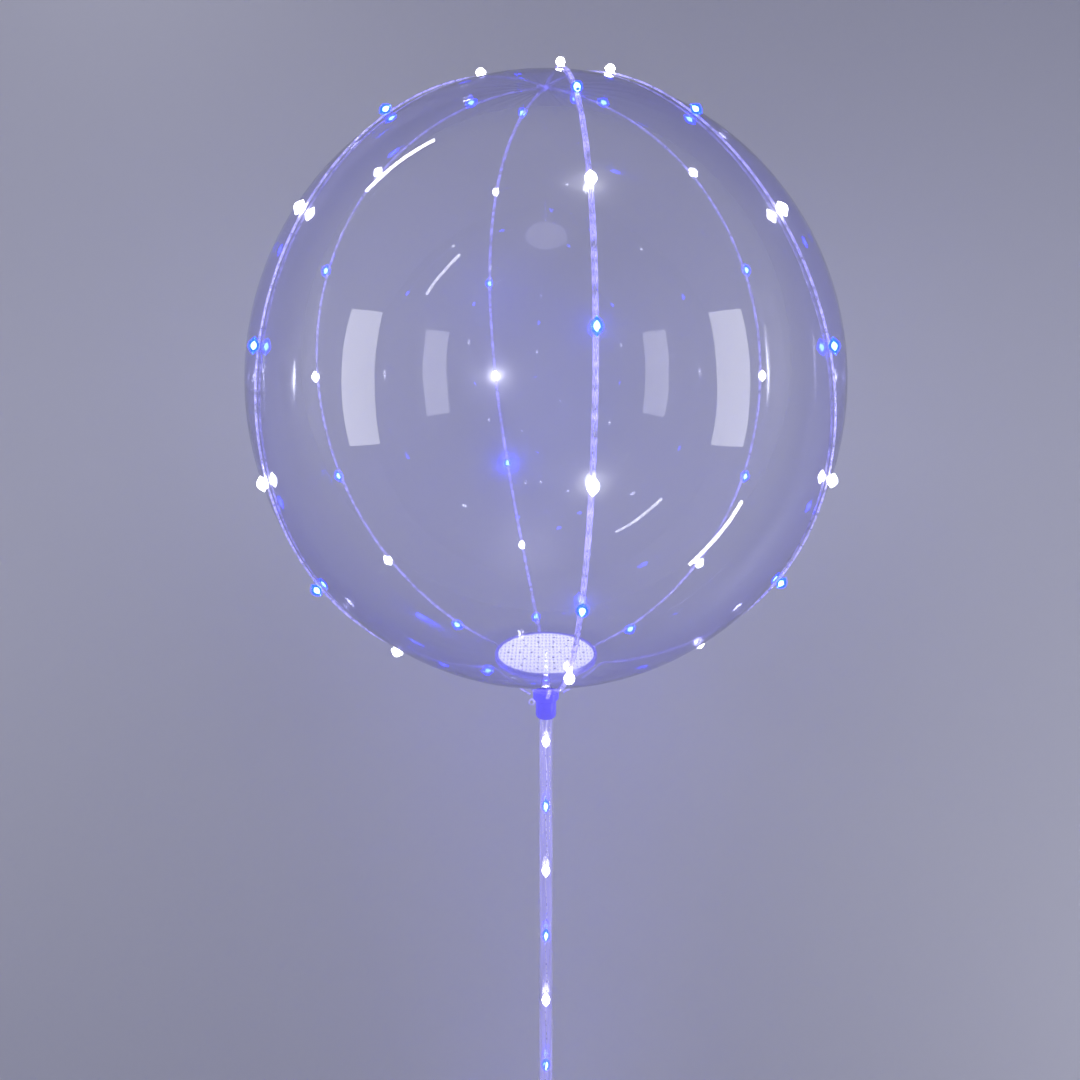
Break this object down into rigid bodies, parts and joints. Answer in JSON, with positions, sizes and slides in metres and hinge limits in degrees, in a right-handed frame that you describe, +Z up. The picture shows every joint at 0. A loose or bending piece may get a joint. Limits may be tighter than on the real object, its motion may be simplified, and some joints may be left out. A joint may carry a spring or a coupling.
{
  "type": "clear bubble balloon on a stick",
  "caption": "Clear bubble balloon wrapped in a string of small blue and white lamps, seated on a perforated disc in a cup on a clear tube stick; lies on its back.",
  "frame": {"origin": "on the surface it lies on, under the middle of the object's box", "axes": "+Z up from the surface; +Y along the stick from the grip towards the balloon's crown; +X to the right seen from above"},
  "size_m": [0.43, 1.2138, 0.4331],
  "materials": {
    "clear_film": "thin clear film, stretched, glossy, faint lavender tint",
    "clear_cable": "clear soft jacket over two silvery strands",
    "silver_strand": "thin tinned wire",
    "white_lamp": "clear moulded drop, lit white",
    "blue_lamp": "clear moulded drop, lit blue",
    "lavender_plastic": "moulded translucent plastic, satin",
    "white_plastic": "moulded white plastic",
    "clear_tube": "extruded clear tube, glossy"
  },
  "bodies": {
    "root": {"balloon": "clear_film", "balloon_light_string": "clear_cable", "holder_cup": "lavender_plastic", "perforated_disc": "white_plastic", "tail_loop": "clear_cable", "stick_tube": "clear_tube", "stick_light_string": "clear_cable", "grip": "lavender_plastic"}
  },
  "joints": []
}
